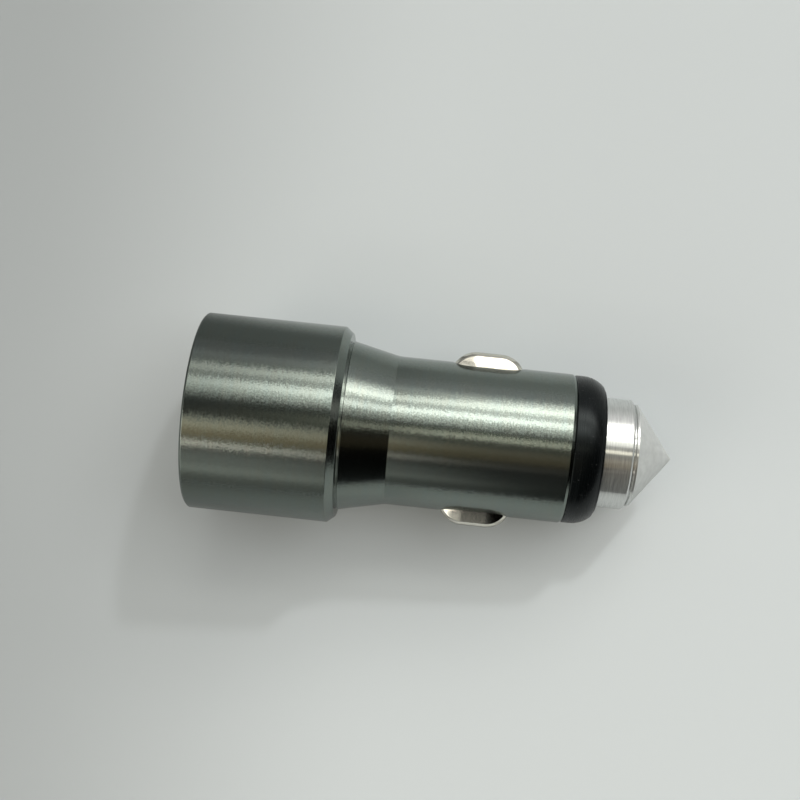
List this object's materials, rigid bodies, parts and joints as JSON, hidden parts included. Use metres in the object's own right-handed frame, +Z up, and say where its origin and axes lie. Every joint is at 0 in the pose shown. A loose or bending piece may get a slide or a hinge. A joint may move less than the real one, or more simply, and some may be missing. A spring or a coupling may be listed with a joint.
{
  "type": "car usb charger plug",
  "caption": "Metal car charger plug with USB ports in a wide head, sprung side contacts in its barrel, a black collar and a conical hard point at its tip, lying on its side.",
  "frame": {"origin": "centre of the bounding box, on the surface that the plug lies on", "axes": "+X the way the tip points, level, with the plug's own axis dipping 5.83 degrees towards the tip as it lies; +Y through the left side contact; +Z up"},
  "size_m": [0.0672, 0.0274, 0.0293],
  "materials": {
    "shell_metal": "satin gunmetal, finely brushed round",
    "face_plastic": "fine moulded grain",
    "port_steel": "bright nickel plate",
    "tongue_plastic": "smooth moulded",
    "contact_gold": "gold flash",
    "guide_clear": "clear moulded",
    "led_resin": "smooth",
    "board_green": "solder mask",
    "ferrite": "matt",
    "copper_wire": "enamelled",
    "can_sleeve": "shrunk sleeve",
    "chip_black": "moulded",
    "chip_tan": "smooth",
    "carrier_plastic": "moulded",
    "ear_nickel": "bright nickel plate",
    "spring_steel": "drawn wire",
    "collar_plastic": "smooth moulded, lightly scratched",
    "tip_metal": "polished cylinder, blasted point",
    "fastener_steel": "zinc plate"
  },
  "bodies": {
    "charger": {"body_shell": "shell_metal", "face_plate": "face_plastic", "port_shell_upper": "port_steel", "port_shell_lower": "port_steel", "port_tongue_upper": "tongue_plastic", "port_tongue_lower": "tongue_plastic", "port_contacts_upper": "contact_gold", "port_contacts_lower": "contact_gold", "light_guide": "guide_clear", "indicator_led": "led_resin", "port_board": "board_green", "board_pins": "contact_gold", "main_board": "board_green", "inductor_core": "ferrite", "inductor_winding": "copper_wire", "input_capacitor": "can_sleeve", "output_capacitor": "can_sleeve", "controller_chip": "chip_black", "rectifier_diode": "chip_black", "chip_resistors": "chip_black", "chip_capacitors": "chip_tan", "carrier_left": "carrier_plastic", "carrier_right": "carrier_plastic", "ear_spring_left": "spring_steel", "ear_spring_right": "spring_steel", "nose_collar": "collar_plastic", "hammer_tip": "tip_metal", "tip_washer": "fastener_steel", "centre_terminal": "contact_gold", "tip_nut": "fastener_steel"},
    "left_ear": {"ear_left": "ear_nickel"},
    "right_ear": {"ear_right": "ear_nickel"}
  },
  "joints": [
    {"name": "left_ear_press", "type": "slide", "parent": "charger", "child": "left_ear", "axis": [0, -1, 0], "range_m": [0, 0.0016], "stiffness_N_per_m": 1500, "springref_m": -0.002, "deforming": ["ear_spring_left"]},
    {"name": "right_ear_press", "type": "slide", "parent": "charger", "child": "right_ear", "axis": [0, 1, 0], "range_m": [0, 0.0016], "stiffness_N_per_m": 1500, "springref_m": -0.002, "deforming": ["ear_spring_right"]}
  ]
}
